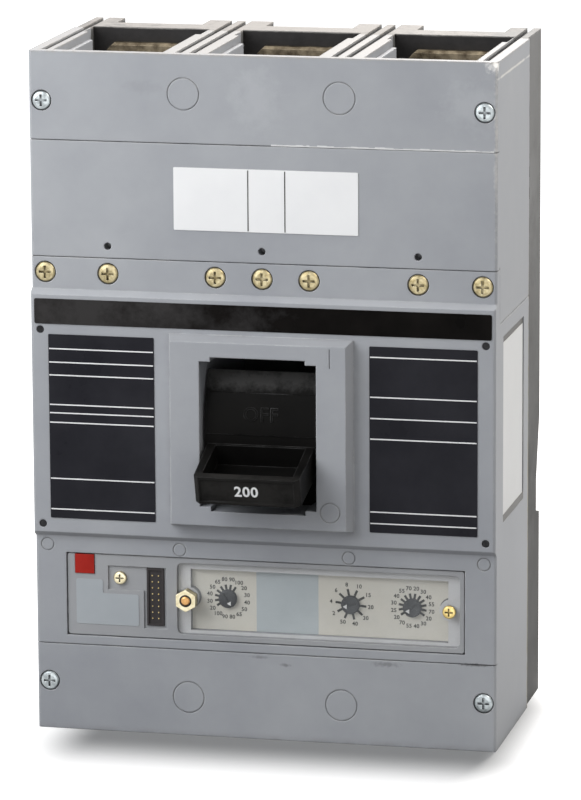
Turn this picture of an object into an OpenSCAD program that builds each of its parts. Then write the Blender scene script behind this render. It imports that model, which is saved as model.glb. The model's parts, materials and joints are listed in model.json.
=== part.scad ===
// Three-pole moulded-case circuit breaker with an electronic trip unit.
// Millimetres. X runs across the poles, the front faces -Y and Z is up.
// A depth (d) is measured backwards from the front plane of the covers.

/* [Case] */
// Distance from one pole to the next
pole_pitch = 63.5; // [62:0.5:68]
// Height of the case
case_h = 279.4; // [272:0.1:310]
// Depth from the front plane of the covers to the mounting face
case_d = 101.6; // [98:0.1:115]
// Depth of the front covers, back to the seam with the base
cover_d = 70; // [66:0.5:73]
// How far each side of the base is set in from the covers
base_inset = 1; // [0:0.1:2]
// Chamfer along the front edges of the case
edge_chamfer = 0.8; // [0.3:0.1:1.5]
// Height of the seam between the two covers, seen from the side
split_z = 174; // [173:0.5:180]
// Height of the seam between the two covers, seen from the front
flange_top_z = 196; // [194:0.5:205]
// Thickness of the lower cover's lap over the upper cover
flange_t = 6; // [4:0.5:9]
// Width of the seams between the covers
seam = 0.3; // [0.1:0.05:0.5]

/* [Raised middle] */
// Lower edge of the raised middle of the front
raise_bottom_z = 81; // [79:0.5:83]
// Upper edge of the raised middle of the front
raise_top_z = 183; // [180:0.5:184]
// How far the middle stands out from the covers
raise = 2.5; // [1.5:0.1:4]
// Slope length of its upper and lower edges
raise_slope = 2; // [1:0.1:2.5]
// Depth of the label recess in each side
side_recess = 0.6; // [0.3:0.1:1.5]
// Front edge of that recess
side_recess_front = 14; // [10:0.5:18]
// Back edge of that recess
side_recess_back = 59; // [50:0.5:62]
// Lower edge of that recess
side_recess_low = 91.5; // [85:0.5:100]
// Upper edge of that recess
side_recess_high = 167.5; // [155:0.5:170]
// Corner pins, across
pin_dia = 3; // [2:0.1:4]
// Distance of the corner pins from the side of the case
pin_in = 3.9; // [3:0.1:6]
// Height of the lower pins above the raised middle's lower edge
pin_low = 5.4; // [4:0.1:8]
// Distance of the upper pins below its upper edge
pin_high = 16.4; // [12:0.1:20]
// Length of a corner pin
pin_l = 10; // [6:0.5:14]

/* [Terminals] */
// Height of a terminal cover
term_cover_h = 36; // [35:0.5:38]
// Thickness of a terminal cover
term_cover_t = 4; // [3:0.5:6]
// Size of the chip broken from the line terminal cover's corner
chip = 3.4; // [2:0.1:5]
// Depth of a terminal cavity from the end of the case
cavity_h = 34; // [28:0.5:34.5]
// Rib between two poles
barrier_rib = 3.1; // [2:0.1:4]
// Slot beside the rib
barrier_slot = 2.7; // [2:0.1:3.5]
// Depth of those slots
barrier_slot_h = 6.9; // [4:0.1:8]
// Wall between a slot and the cavity
pole_wall = 4.8; // [3:0.1:6]
// Outer wall of the case at its ends
outer_wall = 4; // [3:0.1:5]
// Depth at which a cavity gets wider
cavity_step_d = 58; // [50:0.5:62]
// How much wider it gets at each side
cavity_step = 2; // [1:0.1:2.5]
// Width of a terminal strap
strap_w = 36; // [28:0.5:40]
// Thickness of a terminal strap
strap_t = 4.3; // [3:0.1:6]
// Distance from the end of the case to the strap
strap_end = 6; // [4:0.5:12]
// Length of the strap's foot in the base
strap_foot = 8; // [5:0.5:12]
// Radius of the tapped hole in a strap
strap_hole_r = 4; // [3:0.1:5]
// Distance from the strap's end to that hole
strap_hole_in = 12; // [9:0.5:14]
// Cut corners at the strap's end
strap_corner = 3; // [1:0.5:5]
// Worn front edge of the strap's end
strap_edge = 1; // [0.3:0.1:1.5]
// Depth of the bolt's clearance hole behind a strap
bolt_clear = 9; // [6:0.5:11]
// Thickness of the base's wall behind a strap
cross_wall = 13.2; // [11.5:0.1:15]
// Width of the rear connection recess
rear_recess_w = 36.6; // [30:0.1:40]
// Height of the rear connection recess
rear_recess_h = 25; // [15:0.5:30]

/* [Mounting] */
// Distance of the mounting holes from each end of the case
mount_in = 15.95; // [14:0.05:18]
// Radius of a mounting hole
mount_hole_r = 2.8; // [2:0.1:4]
// Radius of the driver tunnel in the covers and of the knock-out ring
tunnel_r = 6.45; // [5:0.05:7]
// Width and depth of a moulded ring mark
ring_mark = 0.35; // [0.2:0.05:0.8]
// Lower edge of the notch across the back
notch_bottom_z = 76.5; // [70:0.5:78]
// Upper edge of the notch across the back
notch_top_z = 118; // [110:0.5:125]
// Depth of the notch across the back
notch_d = 7; // [4:0.5:10]
// Height of the notch's flat floor
notch_floor = 13.5; // [8:0.5:18]

/* [Screws] */
// Distance of the cover screws below the seam on the front
cover_screw_in = 6.2; // [5:0.1:7]
// Distance of the outer cover screws from the side of the case
cover_screw_side = 5.7; // [5.5:0.1:7]
// Distance of the screws beside the middle one
cover_screw_mid = 19.2; // [12:0.1:26]
// Radius of a cover screw's head
cover_head_r = 4.1; // [3:0.1:4.4]
// Radius of a terminal cover screw's head
term_head_r = 3.9; // [3:0.1:4.1]
// Distance of the terminal cover screws from the end of the case
term_screw_in = 20; // [14:0.5:26]
// Distance of the terminal cover screws from the side of the case
term_screw_side = 5.05; // [4.9:0.05:6]
// Height of a screw's head
head_h = 2; // [1.5:0.1:2.5]
// Depth of the seat under a screw's head
head_set = 1.3; // [0.8:0.1:1.6]
// Gap around a screw's head
head_gap = 0.3; // [0.15:0.05:0.5]
// Radius of a screw's shank
shank_r = 1.9; // [1.5:0.1:2.2]
// Length of a screw's shank
shank_l = 15; // [10:0.5:18]
// Radius of the three gauge holes in the upper cover
gauge_hole_r = 1.5; // [1:0.1:2]
// Height of those holes above the seam on the front
gauge_hole_up = 5; // [4:0.5:8]
// Depth of those holes
gauge_hole_d = 6; // [3:0.5:10]

/* [Handle] */
// Height of the handle's pivot
pivot_z = 128.5; // [127:0.5:130]
// Depth of the handle's pivot
pivot_d = 38; // [36:0.5:40]
// Radius of the pivot pin
pivot_r = 4; // [3:0.1:5]
// Radius of the shutter behind the handle opening
shutter_r = 42; // [41:0.1:42.4]
// Thickness of the shutter
shutter_t = 3; // [2:0.1:4]
// Half angle of the shutter
shutter_half_deg = 50; // [48:1:54]
// Raised panels on the shutter
panel_raise = 0.6; // [0.3:0.1:0.8]
// Angle from the grip at which a panel starts
panel_from_deg = 14; // [12:1:18]
// Angle from the grip at which a panel ends
panel_to_deg = 37; // [32:1:42]
// How much wider than the grip a panel is
panel_more_w = 2; // [1:0.1:2.5]
// Thickness of the cheeks that carry the shutter
cheek_t = 4; // [3:0.1:5]
// Half angle of the cheeks
cheek_half_deg = 26; // [20:1:30]
// How far the cheeks are set in from the shutter's sides
cheek_in = 0.5; // [0.3:0.1:1]
// Wall of the hub around the pivot pin
hub_wall = 4; // [3:0.1:5]
// How far the pivot pin reaches into each side of the cover
pin_seat = 4; // [3:0.1:6]
// Distance from the pivot to the grip's front
grip_r = 70; // [64:0.5:76]
// Thickness of the grip
grip_t = 12; // [9:0.5:14]
// Width of the grip's front
grip_w = 43; // [40:0.5:44]
// Wall of the hollow grip
grip_wall = 3; // [2:0.1:4]
// Cut corners of the grip's front
grip_cut = 1.8; // [1:0.1:3]
// How much the grip widens at each side towards the shutter
grip_draft = 0.6; // [0.2:0.1:1]
// Depth of the label recess in the grip's front
grip_recess = 0.6; // [0.3:0.1:1]
// Rim around that recess
grip_rim = 1.2; // [0.8:0.1:2]
// Angle of the handle below level when it is off
off_deg = 16; // [14:0.5:18]

/* [Handle bezel] */
// Width of the bezel's front
bezel_w = 72; // [66:0.5:76]
// Height of the bezel's front
bezel_h = 75; // [72:0.5:78]
// How far the bezel stands out from the raised middle
bezel_out = 7; // [6:0.5:9]
// Draft of its sides
bezel_draft = 1.75; // [1:0.05:2.5]
// Height of the bezel's middle
bezel_z = 127.7; // [127:0.1:128.5]
// Width of the handle opening
slot_w = 47.9; // [46:0.1:52]
// Height of the handle opening at its full width
slot_h = 59.4; // [56:0.1:60]
// Width of the narrow ends of the opening
slot_end_w = 38.9; // [34:0.1:42]
// Height of the opening with its narrow ends
slot_end_h = 63; // [61:0.1:66]
// Radius of the moulded ring in the bezel's corner
bezel_ring_r = 4; // [3:0.1:4.5]
// Distance of that ring from the bezel's side
bezel_ring_side = 6.5; // [5:0.1:8]
// Distance of that ring from the bezel's lower edge
bezel_ring_up = 7.5; // [6:0.1:9]
// Length of the tick in the bezel's upper corner
tick_l = 7.6; // [4:0.1:10]
// Distance of the tick from the bezel's upper edge
tick_in = 1.1; // [0.8:0.1:2]

/* [Trip unit] */
// Width of the trip unit
trip_w = 165; // [164:0.5:168]
// Height of the trip unit
trip_h = 34.6; // [34:0.1:36]
// Lower edge of the trip unit
trip_z = 39.6; // [39:0.1:41]
// Depth of its pocket in the lower cover
trip_pocket = 12; // [11:0.5:14]
// How far its face lies behind the covers
trip_set = 0.6; // [0.3:0.1:1]
// Gap around the trip unit
trip_gap = 0.4; // [0.2:0.1:0.6]
// Corner radius of its face
trip_corner = 1; // [0.5:0.1:2]
// Depth of the recess around the test socket
socket_recess = 0.8; // [0.5:0.1:1.2]
// Width of the test socket
socket_w = 7.1; // [6:0.1:8]
// Height of the test socket
socket_h = 23.9; // [20:0.1:25]
// Middle of the test socket, left of the case's middle
socket_in = 45.5; // [44:0.1:46]
// Depth of the test socket behind its recess
socket_d = 5; // [3:0.1:7]
// Rim around the socket's contacts
socket_rim = 0.8; // [0.5:0.1:1.2]
// Margin of the recess around the socket
socket_margin = 1.2; // [0.8:0.1:1.6]
// Margin of the recess above the socket
socket_top = 0.4; // [0.3:0.1:1]
// Distance of the seal screw from the socket
seal_in = 14.7; // [12:0.1:16]
// Height of the seal screw above the trip unit's middle
seal_up = 7.4; // [6:0.1:8]
// Half width of the recess around the seal screw
seal_margin = 5; // [3.5:0.1:5.5]
// Radius of the seal screw's head
seal_head_r = 2.7; // [2:0.1:3]
// Width of the clear window
pane_w = 116.4; // [114:0.1:118]
// Height of the clear window
pane_h = 29.4; // [28:0.1:30]
// Thickness of the clear window
pane_t = 2; // [1.5:0.1:2.5]
// Middle of the clear window across the case
pane_x = 22; // [21:0.5:23]
// Ledge under the window's ends
pane_ledge_w = 5; // [4:0.1:6]
// Ledge under the window's upper edge
pane_ledge_top = 2.6; // [1.5:0.1:3]
// Ledge under the window's lower edge
pane_ledge_low = 1.3; // [1:0.1:3]
// Corner radius of the clear window
pane_corner = 2.3; // [1:0.1:3]
// How far the window's front lies behind the trip unit's face
pane_set = 0.3; // [0.1:0.1:0.6]
// Radius of the bosses under the window's fasteners
boss_r = 4.4; // [3.5:0.1:4.8]
// Room between the window and the pocket's floor
dial_room = 3.2; // [3:0.1:5]
// Distance from the window's middle to each of its fasteners
pane_screw_x = 54; // [53.5:0.1:54.5]
// Thickness of the dial plates
plate_t = 0.8; // [0.5:0.1:1.2]
// Reach of the left dial plate beyond its dial
left_plate_reach = 11.7; // [9:0.1:12.5]
// Reach of the middle dial plate beyond its dial
middle_plate_reach = 13.4; // [9:0.1:16]

/* [Dials and button] */
// Radius of a dial
dial_r = 3.8; // [3:0.1:4.5]
// Height of a dial
dial_h = 1.6; // [1.4:0.1:1.8]
// Radius of a dial's spindle
spindle_r = 1.5; // [1:0.1:1.8]
// Length of a dial's spindle
spindle_l = 5; // [4:0.1:6]
// Spacing of the dials
dial_pitch = 25.4; // [24.5:0.1:26]
// Width of the driver slot in a dial
dial_slot = 1; // [0.6:0.1:1.4]
// Depth of that slot
dial_slot_d = 0.9; // [0.5:0.1:1.4]
// Chamfer of a dial's front edge
dial_edge = 0.5; // [0.2:0.1:0.8]
// Width of the trip button
button_w = 8.4; // [7:0.1:9]
// Height of the trip button
button_h = 8.3; // [7:0.1:9]
// Travel of the trip button
button_travel = 3; // [2:0.1:4]
// Middle of the trip button, left of the case's middle
button_in = 74.9; // [74:0.1:76]
// Length of the trip button
button_l = 6; // [5:0.1:7]
// How far the button stands out from the trip unit's face
button_out = 0.4; // [0.2:0.1:0.6]
// Radius of the button's stem
stem_r = 1.5; // [1:0.1:2]
// Length of the stem's bore behind the pocket
stem_l = 10; // [8:0.5:12]

/* [Fits] */
// Radial clearance of a pin that turns
turn_gap = 0.06; // [0.03:0.01:0.1]
// Clearance around pieces that slide
slide_gap = 0.2; // [0.1:0.05:0.4]
// Radial clearance around fixed pins and screws
seat_gap = 0.1; // [0.05:0.05:0.2]
// Gap behind a dial and around the shutter
run_gap = 0.4; // [0.3:0.1:0.8]
// Radial clearance of the handle's hub on its pin
hub_gap = 0.02; // [0.01:0.01:0.05]
// Spare depth behind a screw or stem
end_gap = 1; // [0.5:0.1:2]

/* [Hidden] */
$fn = 64;

poles = 3;
case_w = poles * pole_pitch;
half_w = case_w / 2;
pole_xs = [-pole_pitch, 0, pole_pitch];
gap_xs = [-pole_pitch / 2, pole_pitch / 2];

// The handle in its off position is the foremost point, and the depth is centred on the whole object.
handle_reach = grip_r * cos(off_deg) + grip_t / 2 * sin(off_deg) - pivot_d;
back_y = (case_d + handle_reach) / 2;
face_y = back_y - case_d;

// Terminal ends
between_poles = barrier_rib + 2 * barrier_slot + 2 * pole_wall;
cavity_w = pole_pitch - between_poles;
bolt_gap = 0.6;
cross_wall_d = cover_d + strap_t;
rear_recess_d = cross_wall_d + cross_wall;
strap_l = cavity_h + strap_foot - strap_end;
strap_hole_z = strap_end + strap_hole_in;
bolt_clear_d = cross_wall_d + bolt_clear;
notch_draft = 1.5;

// Screws
cover_screw_z = flange_top_z - cover_screw_in;
cover_screw_xs = [
  -half_w + cover_screw_side, -pole_pitch, -cover_screw_mid, 0,
  cover_screw_mid, pole_pitch, half_w - cover_screw_side
];
term_screw_x = half_w - term_screw_side;
pilot_r = shank_r + seat_gap;
pilot_end_d = head_set + shank_l + end_gap;

// Raised middle and bezel
raised_d = -raise;
bezel_d = raised_d - bezel_out;
pin_zs = [raise_bottom_z + pin_low, raise_top_z - pin_high];
pin_set = 0.4;
pin_back_d = raised_d + pin_set + pin_l;
chamber_r = shutter_r + panel_raise + 2 * run_gap;
shutter_w = slot_w - 4 * run_gap;
mark_r = 2.6;
mark_down = 3.7;
mark_mid_x = 35;
mark_out_x = half_w - 5;

// Trip unit
trip_mid_z = trip_z + trip_h / 2;
pane_mid_z = trip_mid_z;
pane_front_d = trip_set + pane_set;
pane_back_d = pane_front_d + pane_t;
dial_floor_d = pane_back_d + dial_room;
dial_back_d = dial_floor_d - plate_t - run_gap;
inner_x0 = pane_x - pane_w / 2 + pane_ledge_w;
inner_x1 = pane_x + pane_w / 2 - pane_ledge_w;
inner_z0 = pane_mid_z - pane_h / 2 + pane_ledge_low;
inner_z1 = pane_mid_z + pane_h / 2 - pane_ledge_top;
pane_shank_r = 2;
pane_bore_r = pane_shank_r + seat_gap;
plate_gap = 0.3;
standoff_r = 4.6;
standoff_h = 4;
standoff_bore_r = 1.4;
small_head_h = 1.5;
seal_shank_r = 1.5;
seal_shank_l = 8;
socket_well = 0.6;
dial_xs = [for (step = [-1.5, 0.5, 1.5]) pane_x + step * dial_pitch];
dial_turns = [-63, 200, 220];
plate_edges = [
  inner_x0, dial_xs[0] + left_plate_reach, dial_xs[1] - middle_plate_reach,
  (dial_xs[1] + dial_xs[2]) / 2, inner_x1
];
socket_x = -socket_in;
seal_x = socket_x - seal_in;
seal_z = trip_mid_z + seal_up;
recess_back_d = trip_set + socket_recess;
socket_set = 0.2;
socket_front_d = trip_set + socket_set;
button_x = -button_in;
button_z = trip_z + trip_h - trip_gap - button_h / 2;
button_front_d = trip_set - button_out;

// A box from ranges across the case, in depth and in height
module block(xr, dr, zr) {
  translate([xr[0], face_y + dr[0], zr[0]])
    cube([xr[1] - xr[0], dr[1] - dr[0], zr[1] - zr[0]]);
}

// A round bar or bore along the depth
module along_depth(x, z, r, d0, d1) {
  translate([x, face_y + d0, z])
    rotate([-90, 0, 0])
      cylinder(r = r, h = d1 - d0);
}

// A side profile of depths and heights, drawn out across the case
module across(w, points) {
  translate([-w / 2, face_y, 0])
    rotate([90, 0, 90])
      linear_extrude(height = w)
        polygon(points);
}

// A round bar along X
module along_x(r, w) {
  translate([-w / 2, 0, 0])
    rotate([0, 90, 0])
      cylinder(r = r, h = w);
}

// A sector around X, its angles measured upwards from the front
module sector(r0, r1, w, a0, a1) {
  rotate([90, 0, -90])
    rotate([0, 0, a0])
      rotate_extrude(angle = a1 - a0, $fn = 128)
        translate([r0, -w / 2])
          square([r1 - r0, w]);
}

// A slab with rounded corners, lying in the front plane
module rounded_slab(x, z, w, h, r, d0, d1) {
  block([x - w / 2 + r, x + w / 2 - r], [d0, d1], [z - h / 2, z + h / 2]);
  block([x - w / 2, x + w / 2], [d0, d1], [z - h / 2 + r, z + h / 2 - r]);
  for (sx = [-1, 1], sz = [-1, 1])
    along_depth(x + sx * (w / 2 - r), z + sz * (h / 2 - r), r, d0, d1);
}

// A thin moulded ring in a front face
module ring_cut(x, z, r, d) {
  difference() {
    along_depth(x, z, r + ring_mark / 2, d - 1, d + ring_mark);
    along_depth(x, z, r - ring_mark / 2, d - 2, d + 2);
  }
}

// Chamfer of both front side edges
module side_edges(d, z0, z1) {
  side = edge_chamfer * sqrt(2);
  for (sx = [-1, 1])
    translate([sx * half_w, face_y + d, z0])
      rotate([0, 0, 45])
        translate([-side / 2, -side / 2, 0])
          cube([side, side, z1 - z0]);
}

// Both ends of the case are alike, so each is drawn from its own end
module at_line_end() {
  translate([0, 0, case_h])
    mirror([0, 0, 1])
      children();
}

// Cavities, slots, driver tunnels and screw pilots in a cover's end
module cover_end_cuts() {
  for (x = pole_xs) {
    block([x - cavity_w / 2, x + cavity_w / 2], [term_cover_t - 1, cover_d + 1], [-1, cavity_h]);
    block([x - cavity_w / 2 - cavity_step, x + cavity_w / 2 + cavity_step],
          [cavity_step_d, cover_d + 1], [-1, cavity_h]);
  }
  barrier_slots(term_cover_t, cover_d + 1);
  for (x = gap_xs)
    along_depth(x, mount_in, tunnel_r, term_cover_t - 1, cover_d + 1);
  for (sx = [-1, 1])
    along_depth(sx * term_screw_x, term_screw_in, pilot_r, term_cover_t - 1, pilot_end_d);
}

// Slots beside the ribs between the poles and inside the outer walls
module barrier_slots(d0, d1) {
  for (x = gap_xs, sx = [-1, 1])
    slot_at(x + sx * (barrier_rib + barrier_slot) / 2, d0, d1);
  for (sx = [-1, 1])
    slot_at(sx * (half_w - outer_wall - barrier_slot / 2), d0, d1);
}

module slot_at(x, d0, d1) {
  block([x - barrier_slot / 2, x + barrier_slot / 2], [d0, d1], [-1, barrier_slot_h]);
}

// Strap seats, rear recesses and slots in the base's end
module base_end_cuts() {
  for (x = pole_xs) {
    block([x - cavity_w / 2 - cavity_step, x + cavity_w / 2 + cavity_step],
          [cover_d - 1, cross_wall_d], [-1, cavity_h]);
    block([x - strap_w / 2 - seat_gap, x + strap_w / 2 + seat_gap],
          [cover_d - 1, cross_wall_d], [0, cavity_h + strap_foot]);
    along_depth(x, strap_hole_z, strap_hole_r + bolt_gap, cover_d, bolt_clear_d);
    block([x - rear_recess_w / 2, x + rear_recess_w / 2],
          [rear_recess_d, case_d + 1], [-1, rear_recess_h]);
  }
  barrier_slots(cover_d - 1, case_d + 1);
}

module base() {
  color([0.36, 0.36, 0.37])
  difference() {
    block([-half_w + base_inset, half_w - base_inset], [cover_d, case_d], [0, case_h]);
    base_end_cuts();
    at_line_end()
      base_end_cuts();
    across(case_w + 2, [
      [case_d + 1, notch_bottom_z],
      [case_d - notch_d, notch_bottom_z + notch_draft],
      [case_d - notch_d, notch_bottom_z + notch_draft + notch_floor],
      [case_d, notch_top_z],
      [case_d + 1, notch_top_z]
    ]);
    for (x = gap_xs, z = [mount_in, case_h - mount_in])
      along_depth(x, z, mount_hole_r, cover_d - 1, case_d + 1);
  }
}

module upper_cover() {
  term_z = case_h - term_cover_h;
  color([0.64, 0.65, 0.67])
  difference() {
    across(case_w, [
      [flange_t, split_z],
      [cover_d, split_z],
      [cover_d, case_h],
      [term_cover_t, case_h],
      [term_cover_t, term_z],
      [0, term_z],
      [0, flange_top_z + seam],
      [flange_t, flange_top_z + seam]
    ]);
    at_line_end()
      cover_end_cuts();
    side_edges(0, flange_top_z - 1, term_z + 1);
    for (sx = [-1, 1])
      block([sx * half_w - seam, sx * half_w + seam], [flange_t - 1, flange_t + seam],
            [split_z - 1, flange_top_z + 1]);
    for (x = cover_screw_xs)
      along_depth(x, cover_screw_z, pilot_r, flange_t - 1, pilot_end_d);
    for (x = pole_xs)
      along_depth(x, flange_top_z + gauge_hole_up, gauge_hole_r, -1, gauge_hole_d);
  }
}

module lower_cover() {
  color([0.6, 0.61, 0.63])
  difference() {
    union() {
      across(case_w, [
        [term_cover_t, 0],
        [cover_d, 0],
        [cover_d, split_z],
        [flange_t, split_z],
        [flange_t, flange_top_z],
        [0, flange_top_z],
        [0, raise_top_z],
        [raised_d, raise_top_z - raise_slope],
        [raised_d, raise_bottom_z + raise_slope],
        [0, raise_bottom_z],
        [0, term_cover_h],
        [term_cover_t, term_cover_h]
      ]);
      bezel();
    }
    cover_end_cuts();
    side_edges(0, term_cover_h - 1, raise_bottom_z);
    side_edges(0, raise_top_z, flange_top_z + 1);
    side_edges(raised_d, raise_bottom_z - 1, raise_top_z + 1);
    handle_opening();
    trip_pocket_cuts();
    cover_marks();
    for (x = cover_screw_xs) {
      along_depth(x, cover_screw_z, cover_head_r + head_gap, -1, head_set);
      along_depth(x, cover_screw_z, pilot_r, 0, flange_t + 1);
    }
    for (sx = [-1, 1], z = pin_zs)
      along_depth(sx * (half_w - pin_in), z, pin_dia / 2 + seat_gap, raised_d - 1, pin_back_d);
    for (sx = [-1, 1]) {
      block([sx * half_w - side_recess, sx * half_w + side_recess], [side_recess_front, side_recess_back],
            [side_recess_low, side_recess_high]);
      block([sx * half_w - seam, sx * half_w + seam], [flange_t, cover_d + 1], [split_z - seam, split_z]);
    }
  }
}

// The raised frame around the handle, with drafted sides
module bezel() {
  w = bezel_w / 2;
  h = bezel_h / 2;
  intersection() {
    across(bezel_w + 4 * bezel_draft, [
      [bezel_d, bezel_z - h],
      [bezel_d, bezel_z + h],
      [raised_d, bezel_z + h + bezel_draft],
      [raised_d + 1, bezel_z + h + bezel_draft],
      [raised_d + 1, bezel_z - h - bezel_draft],
      [raised_d, bezel_z - h - bezel_draft]
    ]);
    translate([0, face_y, bezel_z - bezel_h])
      linear_extrude(height = 2 * bezel_h)
        polygon([
          [-w, bezel_d],
          [w, bezel_d],
          [w + bezel_draft, raised_d],
          [w + bezel_draft, raised_d + 1],
          [-w - bezel_draft, raised_d + 1],
          [-w - bezel_draft, raised_d]
        ]);
  }
}

// Stepped opening in the bezel and the round chamber in which the shutter turns
module handle_opening() {
  block([-slot_w / 2, slot_w / 2], [bezel_d - 1, pivot_d], [bezel_z - slot_h / 2, bezel_z + slot_h / 2]);
  block([-slot_end_w / 2, slot_end_w / 2], [bezel_d - 1, pivot_d],
        [bezel_z - slot_end_h / 2, bezel_z + slot_end_h / 2]);
  translate([0, face_y + pivot_d, pivot_z]) {
    along_x(chamber_r, slot_w);
    along_x(pivot_r + turn_gap, slot_w + 2 * pin_seat + 2 * seat_gap);
  }
}

module trip_pocket_cuts() {
  block([-trip_w / 2, trip_w / 2], [-1, trip_pocket], [trip_z, trip_z + trip_h]);
  along_depth(button_x, button_z, stem_r + seat_gap, trip_pocket - 1, trip_pocket + stem_l);
}

// Ring marks left by moulding on the front
module cover_marks() {
  ring_x = bezel_w / 2 - bezel_ring_side;
  bezel_top = bezel_z + bezel_h / 2;
  for (x = [-mark_out_x, -mark_mid_x, mark_mid_x, mark_out_x])
    ring_cut(x, raise_bottom_z - mark_down, mark_r, 0);
  ring_cut(ring_x, bezel_top - bezel_h + bezel_ring_up, bezel_ring_r, bezel_d);
  block([ring_x - ring_mark / 2, ring_x + ring_mark / 2], [bezel_d - 1, bezel_d + ring_mark],
        [bezel_top - tick_in - tick_l, bezel_top - tick_in]);
}

// A plate over the terminals, with a ring where the mounting hole can be knocked out
module terminal_cover() {
  difference() {
    block([-half_w, half_w], [0, term_cover_t], [0, term_cover_h - seam]);
    side_edges(0, -1, term_cover_h + 1);
    for (x = gap_xs)
      ring_cut(x, mount_in, tunnel_r, 0);
    for (sx = [-1, 1]) {
      along_depth(sx * term_screw_x, term_screw_in, term_head_r + head_gap, -1, head_set);
      along_depth(sx * term_screw_x, term_screw_in, pilot_r, 0, term_cover_t + 1);
    }
  }
}

module line_terminal_cover() {
  color([0.66, 0.67, 0.69])
  difference() {
    at_line_end()
      terminal_cover();
    // The broken upper right corner
    translate([half_w, face_y, case_h])
      rotate([40, 40, 0])
        cube(chip, center = true);
  }
}

module load_terminal_cover() {
  color([0.58, 0.59, 0.61])
  terminal_cover();
}

// A flat bar with a tapped hole, cut corners and a worn front edge
module strap(x) {
  edge = strap_edge * sqrt(2);
  difference() {
    translate([x, face_y + cross_wall_d, 0])
      rotate([90, 0, 0])
        linear_extrude(height = strap_t)
          difference() {
            polygon([
              [-strap_w / 2, strap_end + strap_l],
              [-strap_w / 2, strap_end + strap_corner],
              [-strap_w / 2 + strap_corner, strap_end],
              [strap_w / 2 - strap_corner, strap_end],
              [strap_w / 2, strap_end + strap_corner],
              [strap_w / 2, strap_end + strap_l]
            ]);
            translate([0, strap_hole_z])
              circle(r = strap_hole_r);
          }
    translate([x, face_y + cover_d, strap_end])
      rotate([45, 0, 0])
        cube([strap_w + 2, edge, edge], center = true);
  }
}

module line_strap_left() {
  color([0.62, 0.55, 0.42])
  at_line_end()
    strap(pole_xs[0]);
}

module line_strap_middle() {
  color([0.62, 0.55, 0.42])
  at_line_end()
    strap(pole_xs[1]);
}

module line_strap_right() {
  color([0.62, 0.55, 0.42])
  at_line_end()
    strap(pole_xs[2]);
}

module load_strap_left() {
  color([0.62, 0.55, 0.42])
  strap(pole_xs[0]);
}

module load_strap_middle() {
  color([0.62, 0.55, 0.42])
  strap(pole_xs[1]);
}

module load_strap_right() {
  color([0.62, 0.55, 0.42])
  strap(pole_xs[2]);
}

// A round-headed screw with a cross recess, its head resting at depth d
module screw(x, z, d, head_r, head_t, body_r, body_l) {
  slot = head_r * 0.24;
  translate([x, face_y + d, z])
    rotate([90, 0, 0])
      difference() {
        rotate_extrude()
          polygon([
            [0, -body_l],
            [body_r, -body_l],
            [body_r, 0],
            [head_r, 0],
            [head_r, head_t * 0.55],
            [head_r * 0.86, head_t * 0.86],
            [head_r * 0.6, head_t],
            [0, head_t]
          ]);
        for (turn = [0, 90])
          rotate([0, 0, turn])
            translate([-head_r * 0.62, -slot / 2, head_t * 0.4])
              cube([head_r * 1.24, slot, head_t]);
      }
}

module cover_screws() {
  color([0.76, 0.66, 0.4])
  for (x = cover_screw_xs)
    screw(x, cover_screw_z, head_set, cover_head_r, head_h, shank_r, shank_l);
}

module line_cover_screws() {
  color([0.75, 0.76, 0.78])
  for (sx = [-1, 1])
    screw(sx * term_screw_x, case_h - term_screw_in, head_set, term_head_r, head_h, shank_r, shank_l);
}

module load_cover_screws() {
  color([0.75, 0.76, 0.78])
  for (sx = [-1, 1])
    screw(sx * term_screw_x, term_screw_in, head_set, term_head_r, head_h, shank_r, shank_l);
}

module corner_pins() {
  color([0.2, 0.2, 0.21])
  for (sx = [-1, 1], z = pin_zs)
    along_depth(sx * (half_w - pin_in), z, pin_dia / 2, raised_d + pin_set, pin_back_d);
}

// The trip unit's face, with its recess, window pocket, button slot and spindle bores
module trip_unit() {
  color([0.57, 0.58, 0.6])
  difference() {
    rounded_slab(0, trip_mid_z, trip_w - 2 * trip_gap, trip_h - 2 * trip_gap, trip_corner,
                 trip_set, trip_pocket);
    rounded_slab(pane_x, pane_mid_z, pane_w + 2 * slide_gap, pane_h + 2 * slide_gap,
                 pane_corner + slide_gap, trip_set - 1, pane_back_d);
    window_pocket();
    for (x = dial_xs)
      along_depth(x, pane_mid_z, spindle_r + turn_gap, dial_floor_d - 1, trip_pocket + 1);
    for (sx = [-1, 1])
      along_depth(pane_x + sx * pane_screw_x, pane_mid_z, pane_bore_r, trip_set, trip_pocket - end_gap);
    block([button_x - button_w / 2, button_x + button_w / 2], [-1, trip_pocket + 1],
          [button_z - button_h / 2, trip_z + trip_h]);
    socket_cuts();
  }
}

// Room for the dials, with a round boss left standing at each window fastener
module window_pocket() {
  difference() {
    block([inner_x0, inner_x1], [trip_set, dial_floor_d], [inner_z0, inner_z1]);
    for (sx = [-1, 1])
      along_depth(pane_x + sx * pane_screw_x, pane_mid_z, boss_r, trip_set - 1, dial_floor_d + 1);
  }
}

// Angled recess that joins the seal screw and the test socket
module socket_cuts() {
  half = socket_w / 2;
  low = trip_mid_z - socket_h / 2;
  high = trip_mid_z + socket_h / 2;
  x1 = socket_x + half + socket_margin;
  block([seal_x - seal_margin, x1], [-1, recess_back_d], [seal_z - seal_margin, high + socket_top]);
  block([socket_x - half - socket_margin, x1], [-1, recess_back_d],
        [low - socket_margin, high + socket_top]);
  block([socket_x - half - seat_gap, socket_x + half + seat_gap], [-1, recess_back_d + socket_d],
        [low - seat_gap, high + seat_gap]);
  along_depth(seal_x, seal_z, seal_shank_r + seat_gap, -1, trip_pocket - end_gap);
}

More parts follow.
